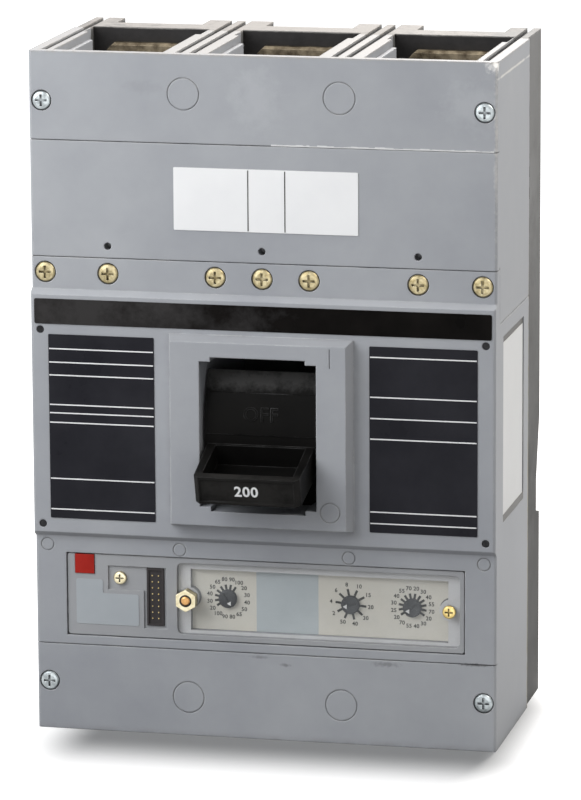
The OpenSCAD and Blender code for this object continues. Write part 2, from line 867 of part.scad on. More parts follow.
module test_socket() {
  half = socket_w / 2;
  low = trip_mid_z - socket_h / 2;
  high = trip_mid_z + socket_h / 2;
  color([0.1, 0.1, 0.11])
  difference() {
    block([socket_x - half, socket_x + half], [socket_front_d, recess_back_d + socket_d], [low, high]);
    block([socket_x - half + socket_rim, socket_x + half - socket_rim],
          [socket_front_d - 1, socket_front_d + socket_well], [low + socket_rim, high - socket_rim]);
  }
}

module seal_screw() {
  color([0.8, 0.72, 0.5])
  screw(seal_x, seal_z, recess_back_d, seal_head_r, small_head_h, seal_shank_r, seal_shank_l);
}

// A thin plate on the pocket's floor, drilled where a spindle passes
module pocket_plate(x0, x1) {
  front = dial_floor_d - plate_t;
  difference() {
    block([x0, x1], [front, dial_floor_d], [inner_z0 + seat_gap, inner_z1 - seat_gap]);
    for (x = dial_xs)
      along_depth(x, pane_mid_z, spindle_r + plate_gap, front - 1, dial_floor_d + 1);
    for (sx = [-1, 1])
      along_depth(pane_x + sx * pane_screw_x, pane_mid_z, boss_r + plate_gap, front - 1, dial_floor_d + 1);
  }
}

module dial_plate_left() {
  color([0.9, 0.86, 0.72])
  pocket_plate(plate_edges[0] + seat_gap, plate_edges[1]);
}

module blank_plate() {
  color([0.72, 0.76, 0.8])
  pocket_plate(plate_edges[1], plate_edges[2]);
}

module dial_plate_middle() {
  color([0.9, 0.86, 0.72])
  pocket_plate(plate_edges[2], plate_edges[3]);
}

module dial_plate_right() {
  color([0.9, 0.86, 0.72])
  pocket_plate(plate_edges[3], plate_edges[4] - seat_gap);
}

module dial_window() {
  color([0.8, 0.85, 0.88, 0.35])
  difference() {
    rounded_slab(pane_x, pane_mid_z, pane_w, pane_h, pane_corner, pane_front_d, pane_back_d);
    for (sx = [-1, 1])
      along_depth(pane_x + sx * pane_screw_x, pane_mid_z, pane_bore_r, pane_front_d - 1, pane_back_d + 1);
  }
}

// A hexagonal stud that clamps the window's left end and takes a sealing screw
module window_standoff() {
  x = pane_x - pane_screw_x;
  color([0.76, 0.62, 0.34])
  difference() {
    union() {
      translate([x, face_y + pane_front_d, pane_mid_z])
        rotate([90, 0, 0])
          rotate([0, 0, 90])
            cylinder(r = standoff_r, h = standoff_h, $fn = 6);
      along_depth(x, pane_mid_z, pane_shank_r, pane_front_d, trip_pocket - 2 * end_gap);
    }
    along_depth(x, pane_mid_z, standoff_bore_r, pane_front_d - standoff_h - 1, pane_front_d + 3);
  }
}

module window_screw() {
  color([0.76, 0.62, 0.34])
  screw(pane_x + pane_screw_x, pane_mid_z, pane_front_d, seal_head_r, small_head_h, pane_shank_r,
        trip_pocket - 2 * end_gap - pane_front_d);
}

// The moulded handle: shutter, side cheeks, hub and the hollow grip
module handle() {
  color([0.09, 0.09, 0.1])
  translate([0, face_y + pivot_d, pivot_z])
    rotate([off_deg, 0, 0])
      difference() {
        union() {
          sector(shutter_r - shutter_t, shutter_r, shutter_w, -shutter_half_deg, shutter_half_deg);
          for (from = [panel_from_deg, -panel_to_deg])
            sector(shutter_r - shutter_t / 3, shutter_r + panel_raise, grip_w + panel_more_w,
                   from, from + panel_to_deg - panel_from_deg);
          for (sx = [-1, 1])
            translate([sx * (shutter_w / 2 - cheek_in - cheek_t / 2), 0, 0]) {
              sector(pivot_r + hub_wall / 2, shutter_r - shutter_t / 2, cheek_t,
                     -cheek_half_deg, cheek_half_deg);
              along_x(pivot_r + hub_wall, cheek_t);
            }
          grip();
        }
        along_x(pivot_r + hub_gap, slot_w);
      }
}

// The hollow grip, open at its upper side, with a shallow label recess in its front
module grip() {
  w = grip_w / 2;
  base_r = shutter_r - 0.75 * shutter_t;
  scoop_w = grip_w - 2 * grip_wall;
  label_w = grip_w - 2 * grip_cut - grip_rim;
  difference() {
    translate([0, 0, -grip_t / 2])
      linear_extrude(height = grip_t)
        polygon([
          [-w - grip_draft, -base_r],
          [w + grip_draft, -base_r],
          [w, -grip_r + grip_cut],
          [w - grip_cut, -grip_r],
          [-w + grip_cut, -grip_r],
          [-w, -grip_r + grip_cut]
        ]);
    translate([-scoop_w / 2, -grip_r + grip_wall + grip_recess, -grip_t / 2 + grip_wall])
      cube([scoop_w, grip_r - shutter_r - grip_wall - 2 * grip_recess, grip_t]);
    translate([-label_w / 2, -grip_r - 1, -grip_t / 2 + grip_rim])
      cube([label_w, 1 + grip_recess, grip_t - 2 * grip_rim]);
  }
}

module handle_pin() {
  color([0.55, 0.56, 0.58])
  translate([0, face_y + pivot_d, pivot_z])
    along_x(pivot_r, slot_w + 2 * pin_seat);
}

module trip_button() {
  half_button_w = button_w / 2 - slide_gap;
  half_button_h = button_h / 2 - slide_gap;
  color([0.78, 0.16, 0.12])
  union() {
    block([button_x - half_button_w, button_x + half_button_w], [button_front_d, button_front_d + button_l],
          [button_z - half_button_h, button_z + half_button_h]);
    along_depth(button_x, button_z, stem_r, button_front_d + button_l - 1,
                trip_pocket + stem_l - button_travel - end_gap);
  }
}

// A small knob with a driver slot that points at the setting
module dial(i) {
  translate([dial_xs[i], face_y + dial_back_d, pane_mid_z])
    rotate([90, 0, 0])
      rotate([0, 0, dial_turns[i]])
        difference() {
          rotate_extrude()
            polygon([
              [0, -spindle_l],
              [spindle_r, -spindle_l],
              [spindle_r, 0],
              [dial_r, 0],
              [dial_r, dial_h - dial_edge],
              [dial_r - dial_edge, dial_h],
              [0, dial_h]
            ]);
          translate([-dial_r * 0.7, -dial_slot / 2, dial_h - dial_slot_d])
            cube([dial_r * 2, dial_slot, 2 * dial_slot_d]);
        }
}

module dial_left() {
  color([0.22, 0.22, 0.23])
  dial(0);
}

module dial_middle() {
  color([0.22, 0.22, 0.23])
  dial(1);
}

module dial_right() {
  color([0.22, 0.22, 0.23])
  dial(2);
}

base();
upper_cover();
lower_cover();
line_terminal_cover();
load_terminal_cover();
line_strap_left();
line_strap_middle();
line_strap_right();
load_strap_left();
load_strap_middle();
load_strap_right();
cover_screws();
line_cover_screws();
load_cover_screws();
corner_pins();
trip_unit();
test_socket();
seal_screw();
dial_plate_left();
dial_plate_middle();
dial_plate_right();
blank_plate();
dial_window();
window_standoff();
window_screw();
handle();
handle_pin();
trip_button();
dial_left();
dial_middle();
dial_right();
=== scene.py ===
import json
import math
import random

import bmesh
import bpy
from mathutils import Matrix, Vector


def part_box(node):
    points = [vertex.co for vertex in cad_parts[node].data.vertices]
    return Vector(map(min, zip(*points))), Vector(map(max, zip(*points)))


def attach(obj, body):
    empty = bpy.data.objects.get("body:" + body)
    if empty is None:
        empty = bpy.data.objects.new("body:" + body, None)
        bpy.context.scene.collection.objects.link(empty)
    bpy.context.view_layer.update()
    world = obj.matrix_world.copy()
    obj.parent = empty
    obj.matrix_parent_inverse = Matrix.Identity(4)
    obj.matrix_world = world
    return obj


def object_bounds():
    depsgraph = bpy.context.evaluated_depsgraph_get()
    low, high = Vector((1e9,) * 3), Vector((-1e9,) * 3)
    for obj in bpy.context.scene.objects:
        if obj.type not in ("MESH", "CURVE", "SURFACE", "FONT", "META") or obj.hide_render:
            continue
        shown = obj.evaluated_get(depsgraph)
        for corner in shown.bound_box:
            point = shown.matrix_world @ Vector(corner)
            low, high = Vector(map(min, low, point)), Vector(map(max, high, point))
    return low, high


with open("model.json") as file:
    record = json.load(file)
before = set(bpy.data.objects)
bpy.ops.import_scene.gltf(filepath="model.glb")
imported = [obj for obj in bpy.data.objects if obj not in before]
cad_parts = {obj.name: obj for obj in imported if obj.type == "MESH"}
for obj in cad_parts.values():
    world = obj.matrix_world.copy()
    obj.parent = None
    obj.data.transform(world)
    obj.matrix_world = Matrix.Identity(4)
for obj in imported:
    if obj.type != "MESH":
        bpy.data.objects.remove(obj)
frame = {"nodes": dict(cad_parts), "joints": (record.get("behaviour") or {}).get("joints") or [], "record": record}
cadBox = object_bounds()
mm = 0.001

raisedStep = 2.5 * mm  # how far the raised middle stands out
polePitch = 63.5 * mm
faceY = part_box("line_terminal_cover")[0].y  # front plane of the covers
raisedY = faceY - raisedStep
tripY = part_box("trip_unit")[0].y
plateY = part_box("dial_plate_left")[0].y
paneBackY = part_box("dial_window")[1].y
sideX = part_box("lower_cover")[1].x
print("frame loaded, front plane at", round(faceY, 5))


# Shader helpers

def addNode(tree, kind, place, **values):
    made = tree.nodes.new(kind)
    made.location = place
    for name, value in values.items():
        setattr(made, name, value)
    return made


def setInputs(node, **values):
    for name, value in values.items():
        node.inputs[name.replace("_", " ")].default_value = value
    return node


def startGroup(name, inputs, outputs):
    tree = bpy.data.node_groups.new(name, "ShaderNodeTree")
    for label, kind, value in inputs:
        socket = tree.interface.new_socket(label, in_out="INPUT", socket_type=kind)
        socket.default_value = value
    for label, kind in outputs:
        tree.interface.new_socket(label, in_out="OUTPUT", socket_type=kind)
    enter = addNode(tree, "NodeGroupInput", (-900, 0))
    leave = addNode(tree, "NodeGroupOutput", (700, 0))
    return tree, enter, leave


def patchNoise(tree, enter, detail, roughness):
    # the piece's own coordinates, and noise on them at the group's Patch scale
    coord = addNode(tree, "ShaderNodeTexCoord", (-900, -300))
    noise = setInputs(addNode(tree, "ShaderNodeTexNoise", (-450, -200)), Detail=detail, Roughness=roughness)
    tree.links.new(coord.outputs["Object"], noise.inputs["Vector"])
    tree.links.new(enter.outputs["Patch"], noise.inputs["Scale"])
    return coord.outputs["Object"], noise.outputs["Fac"]


def makeMottle():
    # broad clouds in the moulding's colour and a fine grain in its skin
    tree, enter, leave = startGroup(
        "mouldingMottle",
        [("CloudScale", "NodeSocketFloat", 22.0), ("GrainScale", "NodeSocketFloat", 1400.0)],
        [("Cloud", "NodeSocketFloat"), ("Grain", "NodeSocketFloat")],
    )
    coord = addNode(tree, "ShaderNodeTexCoord", (-900, -250))
    cloud = setInputs(addNode(tree, "ShaderNodeTexNoise", (-500, 150)), Detail=5.0, Roughness=0.62)
    grain = setInputs(addNode(tree, "ShaderNodeTexNoise", (-500, -200)), Detail=2.0, Roughness=0.5)
    spread = setInputs(addNode(tree, "ShaderNodeMapRange", (-200, 150)), From_Min=0.32, From_Max=0.68)
    link = tree.links.new
    link(coord.outputs["Object"], cloud.inputs["Vector"])
    link(coord.outputs["Object"], grain.inputs["Vector"])
    link(enter.outputs["CloudScale"], cloud.inputs["Scale"])
    link(enter.outputs["GrainScale"], grain.inputs["Scale"])
    link(cloud.outputs["Fac"], spread.inputs["Value"])
    link(spread.outputs["Result"], leave.inputs["Cloud"])
    link(grain.outputs["Fac"], leave.inputs["Grain"])
    return tree


def makeEdgeWearAndHighlight():
    # finds edges by comparing the rounded normal with the true one, then breaks the line up; the edges get a lighter
    # colour, which is wear and also a painted highlight
    tree, enter, leave = startGroup(
        "edgeWearAndHighlight",
        [("Radius", "NodeSocketFloat", 0.0008), ("Gain", "NodeSocketFloat", 6.0),
         ("Patch", "NodeSocketFloat", 60.0)],
        [("EdgeWearAndHighlight", "NodeSocketFloat"), ("Soft", "NodeSocketVector")],
    )
    noise = patchNoise(tree, enter, 6.0, 0.7)[1]
    geometry = addNode(tree, "ShaderNodeNewGeometry", (-900, 250))
    bevel = addNode(tree, "ShaderNodeBevel", (-650, 100), samples=6)
    dot = addNode(tree, "ShaderNodeVectorMath", (-420, 200), operation="DOT_PRODUCT")
    turn = addNode(tree, "ShaderNodeMath", (-220, 200), operation="SUBTRACT")
    turn.inputs[0].default_value = 1.0
    gain = addNode(tree, "ShaderNodeMath", (-20, 200), operation="MULTIPLY", use_clamp=True)
    patch = setInputs(addNode(tree, "ShaderNodeMapRange", (-200, -200)), From_Min=0.42, From_Max=0.62)
    both = addNode(tree, "ShaderNodeMath", (250, 100), operation="MULTIPLY")
    link = tree.links.new
    link(enter.outputs["Radius"], bevel.inputs["Radius"])
    link(bevel.outputs["Normal"], dot.inputs[0])
    link(geometry.outputs["Normal"], dot.inputs[1])
    link(dot.outputs["Value"], turn.inputs[1])
    link(turn.outputs["Value"], gain.inputs[0])
    link(enter.outputs["Gain"], gain.inputs[1])
    link(noise, patch.inputs["Value"])
    link(gain.outputs["Value"], both.inputs[0])
    link(patch.outputs["Result"], both.inputs[1])
    link(both.outputs["Value"], leave.inputs["EdgeWearAndHighlight"])
    link(bevel.outputs["Normal"], leave.inputs["Soft"])
    return tree


def makeGrimeAndShade():
    # dust and painted shade in corners, creases and gaps, taken from ambient occlusion, with an uneven edge
    tree, enter, leave = startGroup(
        "cornerGrimeAndShade",
        [("Reach", "NodeSocketFloat", 0.004), ("Patch", "NodeSocketFloat", 90.0)],
        [("GrimeAndShade", "NodeSocketFloat")],
    )
    noise = patchNoise(tree, enter, 5.0, 0.65)[1]
    closed = addNode(tree, "ShaderNodeAmbientOcclusion", (-500, 150), samples=5)
    turn = addNode(tree, "ShaderNodeMath", (-250, 150), operation="SUBTRACT", use_clamp=True)
    turn.inputs[0].default_value = 1.0
    patch = setInputs(addNode(tree, "ShaderNodeMapRange", (-250, -200)), From_Min=0.3, From_Max=0.7)
    both = addNode(tree, "ShaderNodeMath", (50, 50), operation="MULTIPLY", use_clamp=True)
    link = tree.links.new
    link(enter.outputs["Reach"], closed.inputs["Distance"])
    link(closed.outputs["AO"], turn.inputs[1])
    link(noise, patch.inputs["Value"])
    link(turn.outputs["Value"], both.inputs[0])
    link(patch.outputs["Result"], both.inputs[1])
    link(both.outputs["Value"], leave.inputs["GrimeAndShade"])
    return tree


def makeMark():
    # one spot, used for wear, soil, painted light and painted shade: an ellipsoid with a ragged edge
    tree, enter, leave = startGroup(
        "wornSpot",
        [("Centre", "NodeSocketVector", (0, 0, 0)), ("Reach", "NodeSocketVector", (0.01, 0.01, 0.01)),
         ("Patch", "NodeSocketFloat", 300.0), ("Strength", "NodeSocketFloat", 1.0)],
        [("Mark", "NodeSocketFloat")],
    )
    point, noise = patchNoise(tree, enter, 5.0, 0.7)
    offset = addNode(tree, "ShaderNodeVectorMath", (-650, 150), operation="SUBTRACT")
    share = addNode(tree, "ShaderNodeVectorMath", (-450, 150), operation="DIVIDE")
    away = addNode(tree, "ShaderNodeVectorMath", (-250, 150), operation="LENGTH")
    ragged = addNode(tree, "ShaderNodeMath", (-50, 50), operation="MULTIPLY_ADD")
    ragged.inputs[1].default_value = 2.2
    fade = setInputs(addNode(tree, "ShaderNodeMapRange", (150, 50)), From_Min=2.1, From_Max=1.35)
    amount = addNode(tree, "ShaderNodeMath", (400, 50), operation="MULTIPLY", use_clamp=True)
    link = tree.links.new
    link(point, offset.inputs[0])
    link(enter.outputs["Centre"], offset.inputs[1])
    link(offset.outputs["Vector"], share.inputs[0])
    link(enter.outputs["Reach"], share.inputs[1])
    link(share.outputs["Vector"], away.inputs[0])
    link(noise, ragged.inputs[0])
    link(away.outputs["Value"], ragged.inputs[2])
    link(ragged.outputs["Value"], fade.inputs["Value"])
    link(fade.outputs["Result"], amount.inputs[0])
    link(enter.outputs["Strength"], amount.inputs[1])
    link(amount.outputs["Value"], leave.inputs["Mark"])
    return tree


mottleGroup = makeMottle()
edgeWearHighlightGroup = makeEdgeWearAndHighlight()
grimeShadeGroup = makeGrimeAndShade()
markGroup = makeMark()


def groupNode(tree, group, place, **values):
    made = addNode(tree, "ShaderNodeGroup", place, node_tree=group)
    for name, value in values.items():
        made.inputs[name].default_value = value
    return made


def mixColour(tree, place, factor, first, second):
    made = addNode(tree, "ShaderNodeMix", place, data_type="RGBA")
    tree.links.new(factor, made.inputs[0])
    for socket, value in ((made.inputs[6], first), (made.inputs[7], second)):
        if isinstance(value, tuple):
            socket.default_value = (*value, 1.0)
        else:
            tree.links.new(value, socket)
    return made.outputs[2]


def startMaterial(name):
    material = bpy.data.materials.new(name)
    material.use_nodes = True
    tree = material.node_tree
    shader = tree.nodes["Principled BSDF"]
    shader.location = (600, 0)
    tree.nodes["Material Output"].location = (900, 0)
    return material, tree, shader


def wornFinish(name, look):
    # clouded colour, rubbed edges that also carry a painted highlight, grime with painted shade in corners, single
    # marks (some of them painted light and shade) and a fine skin
    material, tree, shader = startMaterial(name)
    link = tree.links.new
    mottle = groupNode(tree, mottleGroup, (-700, 200), CloudScale=look["cloud"], GrainScale=look["grain"])
    edge = groupNode(tree, edgeWearHighlightGroup, (-700, -100), Radius=look["round"], Gain=look["rubAndHighlight"], Patch=look["edgePatch"])
    grimeAndShade = groupNode(tree, grimeShadeGroup, (-700, -350), Reach=look["reach"], Patch=look["grimeShadePatch"])
    ground = mixColour(tree, (-350, 250), mottle.outputs["Cloud"], look["dark"], look["light"])
    # painted highlight: the edges take the lighter worn colour, which is wear and also stands in for the light the
    # edges catch
    rubbedAndHighlit = mixColour(tree, (-100, 200), edge.outputs["EdgeWearAndHighlight"], ground, look["worn"])
    # painted shade: the occlusion mask darkens corners, recesses and gaps towards the soil colour, along with real
    # dust
    amount = addNode(tree, "ShaderNodeMath", (-350, -350), operation="MULTIPLY", use_clamp=True)
    amount.inputs[1].default_value = look["dirtAndShade"]
    link(grimeAndShade.outputs["GrimeAndShade"], amount.inputs[0])
    colour = mixColour(tree, (150, 150), amount.outputs["Value"], rubbedAndHighlit, look["soilAndShade"])
    for i, place in enumerate(look.get("marks", ())):
        spot = groupNode(tree, markGroup, (-700, -600 - 250 * i), Centre=place["centre"], Reach=place["reach"],
                         Patch=place["patch"], Strength=place["strength"])
        colour = mixColour(tree, (300 + 60 * i, 300), spot.outputs["Mark"], colour, place["colour"])
    rough = setInputs(addNode(tree, "ShaderNodeMapRange", (100, -100)), To_Min=look["rough"] - look["smoother"],
                      To_Max=look["rough"] + look["rougher"])
    bump = setInputs(addNode(tree, "ShaderNodeBump", (300, -300)), Strength=look["bump"], Distance=look["skin"])
    link(mottle.outputs["Cloud"], rough.inputs["Value"])
    link(mottle.outputs["Grain"], bump.inputs["Height"])
    link(edge.outputs["Soft"], bump.inputs["Normal"])
    setInputs(shader, Metallic=look["metal"], Specular_IOR_Level=look["gloss"])
    link(colour, shader.inputs["Base Color"])
    link(rough.outputs["Result"], shader.inputs["Roughness"])
    link(bump.outputs["Normal"], shader.inputs["Normal"])
    return material


def clearFinish(name, look):
    # thin clear plastic with a faint haze
    material, tree, shader = startMaterial(name)
    mottle = groupNode(tree, mottleGroup, (-500, 100), CloudScale=look["cloud"], GrainScale=look["grain"])
    haze = setInputs(addNode(tree, "ShaderNodeMapRange", (-200, 0)), To_Min=look["clear"], To_Max=look["haze"])
    tree.links.new(mottle.outputs["Cloud"], haze.inputs["Value"])
    tree.links.new(haze.outputs["Result"], shader.inputs["Alpha"])
    tint = mixColour(tree, (-200, 250), mottle.outputs["Cloud"], look["dark"], look["light"])
    tree.links.new(tint, shader.inputs["Base Color"])
    setInputs(shader, Roughness=look["rough"], IOR=look["bend"])
    return material


def mark(centre, reach, colour, patch, strength, origin=(0, faceY, 0)):
    # centre and reach in mm, from the middle of the front plane's foot unless an origin is given
    return {"centre": tuple(start + step * mm for start, step in zip(origin, centre)),
            "reach": tuple(step * mm for step in reach), "colour": colour, "patch": patch, "strength": strength}


coverMarks = (
    mark((94.6, 0.5, 278.4), (4.4, 3.2, 4.0), (0.82, 0.80, 0.78), 700.0, 0.95),  # whitened chip
    mark((95.25, 35, 272.6), (1.0, 70, 0.65), (0.68, 0.67, 0.64), 160.0, 0.8),  # painted highlight: bright line along the step on the side
    mark((0, 36, 279.4), (220, 90, 1.1), (0.35, 0.335, 0.322), 420.0, 0.8),  # pale ends of the walls
    mark((95.25, 0, 250), (1.5, 1.2, 48), (0.58, 0.57, 0.56), 420.0, 0.75),  # scuffed front edge
    mark((85, 0, 263), (15, 3, 13), (0.42, 0.43, 0.45), 150.0, 0.5),  # faint smudges
    mark((-2, 0, 262), (12, 3, 15), (0.43, 0.44, 0.46), 190.0, 0.45),
    mark((-49, 0, 266), (9, 3, 3), (0.24, 0.245, 0.26), 300.0, 0.25),
    mark((87, 0, 35.7), (8, 1.5, 0.8), (0.06, 0.06, 0.06), 600.0, 0.8),  # dark scrape under the lower seam
    mark((95.25, 69.7, 60), (1.5, 1.5, 150), (0.27, 0.24, 0.15), 260.0, 0.9),  # dust on the rear edge
    mark((-2, 0, 34.3), (5, 1.5, 0.8), (0.13, 0.13, 0.13), 700.0, 0.5),  # small scuffs on the load cover
    mark((8.6, 0, 31.6), (3, 1.5, 0.9), (0.12, 0.12, 0.12), 700.0, 0.6),
    mark((50, 0, 34.0), (7, 1.5, 1.3), (0.12, 0.12, 0.12), 800.0, 0.5),
)
coverLook = {"dark": (0.30, 0.31, 0.335), "light": (0.375, 0.385, 0.405), "worn": (0.58, 0.58, 0.58),
             "soilAndShade": (0.12, 0.11, 0.10), "cloud": 14.0, "grain": 1500.0, "round": 0.7 * mm, "rubAndHighlight": 4.0,
             "edgePatch": 70.0, "reach": 3 * mm, "dirtAndShade": 0.8, "grimeShadePatch": 110.0, "rough": 0.52,
             "smoother": 0.07, "rougher": 0.09, "bump": 0.1, "skin": 0.2 * mm, "gloss": 0.15, "metal": 0.0}
baseMarks = (
    mark((0, 90, 279.4), (220, 60, 1.1), (0.33, 0.312, 0.298), 260.0, 0.85),  # pale ends of the walls
    mark((95, 82, 262), (30, 60, 120), (0.20, 0.20, 0.20), 60.0, 0.8),  # painted light: paler upper side, where more light falls
    mark((95, 90, 40), (30, 60, 130), (0.075, 0.074, 0.072), 60.0, 0.8),  # painted shade: darker lower side, where less light falls
)
baseLook = {**coverLook, "dark": (0.10, 0.099, 0.098), "light": (0.155, 0.154, 0.152), "worn": (0.3, 0.29, 0.27),
            "soilAndShade": (0.04, 0.036, 0.03), "cloud": 40.0, "rough": 0.62, "bump": 0.25, "gloss": 0.1}
tripLook = {**coverLook, "dark": (0.30, 0.305, 0.32), "light": (0.37, 0.375, 0.385), "round": 0.35 * mm,
            "reach": 1.0 * mm, "dirtAndShade": 0.3}
throw = next(j for j in frame["joints"] if j["name"] == "handle_throw")
pivot = Vector(throw["pos_m"])
handleMarks = (
    mark((0, -67.3, -19.3), (48, 5, 17), (0.023, 0.022, 0.021), 60.0, 0.9, pivot),  # rubbed front of the grip
    mark((0, -37.0, 21.0), (60, 9, 6), (0.05, 0.049, 0.048), 200.0, 0.85, pivot),  # painted light: lighter top band of the shutter, where it faces up
)
handleLook = {**coverLook, "dark": (0.003, 0.003, 0.003), "light": (0.008, 0.0075, 0.007),
              "worn": (0.09, 0.09, 0.09), "soilAndShade": (0.03, 0.028, 0.025), "rough": 0.38, "bump": 0.2, "dirtAndShade": 0.3,
              "round": 0.6 * mm, "gloss": 0.035}
socketLook = {**handleLook, "dark": (0.045, 0.041, 0.042), "light": (0.075, 0.069, 0.070), "rough": 0.5,
              "round": 0.2 * mm, "worn": (0.16, 0.14, 0.13)}
dialLook = {**handleLook, "dark": (0.030, 0.031, 0.035), "light": (0.052, 0.053, 0.058), "round": 0.2 * mm,
            "gloss": 0.1}
redLook = {**handleLook, "dark": (0.31, 0.019, 0.014), "light": (0.39, 0.028, 0.021), "worn": (0.58, 0.11, 0.09),
           "soilAndShade": (0.16, 0.016, 0.012), "round": 0.25 * mm, "cloud": 120.0, "bump": 0.08}
creamLook = {**coverLook, "dark": (0.59, 0.568, 0.507), "light": (0.665, 0.643, 0.585), "worn": (0.8, 0.78, 0.72),
             "soilAndShade": (0.5, 0.46, 0.37), "rough": 0.4, "round": 0.1 * mm, "bump": 0.03, "dirtAndShade": 0.4}
blueLook = {**creamLook, "dark": (0.41, 0.45, 0.468), "light": (0.49, 0.53, 0.54), "soilAndShade": (0.33, 0.35, 0.36)}
windowLook = {"dark": (0.62, 0.66, 0.68), "light": (0.75, 0.78, 0.8), "clear": 0.02, "haze": 0.08,
              "cloud": 60.0, "grain": 2000.0, "rough": 0.12, "bend": 1.45}
yellowLook = {"dark": (0.22, 0.175, 0.085), "light": (0.52, 0.455, 0.29), "worn": (0.80, 0.75, 0.58),
              "soilAndShade": (0.04, 0.028, 0.012), "cloud": 420.0, "grain": 2600.0, "round": 0.3 * mm, "rubAndHighlight": 4.0,
              "edgePatch": 400.0, "reach": 2 * mm, "dirtAndShade": 1.9, "grimeShadePatch": 500.0, "rough": 0.36,
              "smoother": 0.06, "rougher": 0.12, "bump": 0.12, "skin": 0.1 * mm, "gloss": 0.5, "metal": 1.0}
whiteLook = {**yellowLook, "dark": (0.25, 0.275, 0.285), "light": (0.48, 0.52, 0.53), "worn": (0.78, 0.8, 0.82),
             "soilAndShade": (0.04, 0.04, 0.045), "rough": 0.34}
brassLook = {**yellowLook, "dark": (0.55, 0.40, 0.14), "light": (0.80, 0.64, 0.27)}
paleBrassLook = {**yellowLook, "dark": (0.56, 0.48, 0.29), "light": (0.80, 0.74, 0.54), "worn": (0.9, 0.87, 0.72)}
copperLook = {**yellowLook, "dark": (0.42, 0.20, 0.07), "light": (0.68, 0.40, 0.16)}
pinLook = {**whiteLook, "dark": (0.012, 0.012, 0.013), "light": (0.035, 0.035, 0.036), "worn": (0.2, 0.2, 0.2),
           "rough": 0.45}
shaftLook = {**whiteLook, "dark": (0.3, 0.3, 0.31), "light": (0.4, 0.4, 0.41)}
strapLook = {**yellowLook, "dark": (0.045, 0.032, 0.02), "light": (0.30, 0.25, 0.175), "worn": (0.55, 0.49, 0.38),
             "soilAndShade": (0.02, 0.014, 0.009), "cloud": 210.0, "rough": 0.5}

finishes = {
    "cover_moulding": wornFinish("coverMoulding", {**coverLook, "marks": coverMarks}),
    "base_moulding": wornFinish("baseMoulding", {**baseLook, "marks": baseMarks}),
    "trip_moulding": wornFinish("tripMoulding", tripLook),
    "black_moulding": wornFinish("handleMoulding", {**handleLook, "marks": handleMarks}),
    "black_plastic": wornFinish("socketPlastic", socketLook),
    "dial_plastic": wornFinish("dialPlastic", dialLook),
    "red_plastic": wornFinish("redPlastic", redLook),
    "cream_plate": wornFinish("creamPlate", creamLook),
    "blue_plate": wornFinish("bluePlate", blueLook),
    "clear_window": clearFinish("clearWindow", windowLook),
    "yellow_zinc": wornFinish("yellowZinc", yellowLook),
    "white_zinc": wornFinish("whiteZinc", whiteLook),
    "brass": wornFinish("brassFinish", brassLook),
    "dark_steel": wornFinish("darkSteel", pinLook),
    "pin_steel": wornFinish("pinSteel", shaftLook),
    "strap_metal": wornFinish("strapMetal", strapLook),
}
ownFinish = {
    "window_standoff": wornFinish("paleBrass", paleBrassLook),
    "seal_screw": wornFinish("paleZinc", paleBrassLook),
}
for part in frame["record"]["subparts"]:
    solid = frame["nodes"][part["node"]]
    for place in solid.material_slots:
        place.material = ownFinish.get(part["node"], finishes[part["material_slot"]])
print("materials on", len(frame["nodes"]), "solids")


# Piece helpers

faceFront = Matrix.Rotation(math.pi / 2, 4, "X")  # turns what lies flat to face the front


def finishPiece(name, bm, material, body):
    bmesh.ops.recalc_face_normals(bm, faces=bm.faces)
    mesh = bpy.data.meshes.new(name)
    bm.to_mesh(mesh)
    bm.free()
    mesh.materials.append(material)
    piece = bpy.data.objects.new(name, mesh)
    bpy.context.scene.collection.objects.link(piece)
    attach(piece, body)
    return piece


def addBlock(bm, low, high):
    middle = [(a + b) / 2 for a, b in zip(low, high)]
    size = [b - a for a, b in zip(low, high)]
    place = Matrix.Translation(middle) @ Matrix.Diagonal((*size, 1.0))
    return bmesh.ops.create_cube(bm, size=1.0, matrix=place)["verts"]


def roundPosts(bm, edges, thick, corner, segments):
    # rounds the edges of a thin plate that run from its back to its front
    posts = [e for e in edges if abs(e.verts[0].co.y - e.verts[1].co.y) > thick / 2]
    bmesh.ops.bevel(bm, geom=posts, offset=corner, segments=segments, profile=0.5, affect="EDGES", material=-1)


def addLabel(bm, label, backY):
    # a thin plate with rounded corners
    verts = addBlock(bm, (label["x0"], backY - label["thick"], label["low"]), (label["x1"], backY, label["high"]))
    roundPosts(bm, {e for v in verts for e in v.link_edges}, label["thick"], label["corner"], 6)


def addDisc(bm, centre, backR, frontR, thick, segments):
    bmesh.ops.create_cone(bm, cap_ends=True, segments=segments, radius1=backR, radius2=frontR, depth=thick,
                          matrix=Matrix.Translation(centre) @ faceFront)


def addText(bm, words, size, thick, place, bold):
    curve = bpy.data.curves.new("lettering", "FONT")
    curve.body = words
    curve.size = size
    curve.align_x = "CENTER"
    curve.align_y = "CENTER"
    curve.extrude = thick / 2
    curve.offset = bold * size
    curve.space_character = 1.0 + 3.0 * bold  # room for bolder strokes
    curve.resolution_u = 3
    holder = bpy.data.objects.new("lettering", curve)
    mesh = bpy.data.meshes.new_from_object(holder)
    mesh.transform(place)
    bm.from_mesh(mesh)
    bpy.data.meshes.remove(mesh)
    bpy.data.objects.remove(holder)
    bpy.data.curves.remove(curve)


def onFront(x, y, z):
    return Matrix.Translation((x, y, z)) @ faceFront


# Labels

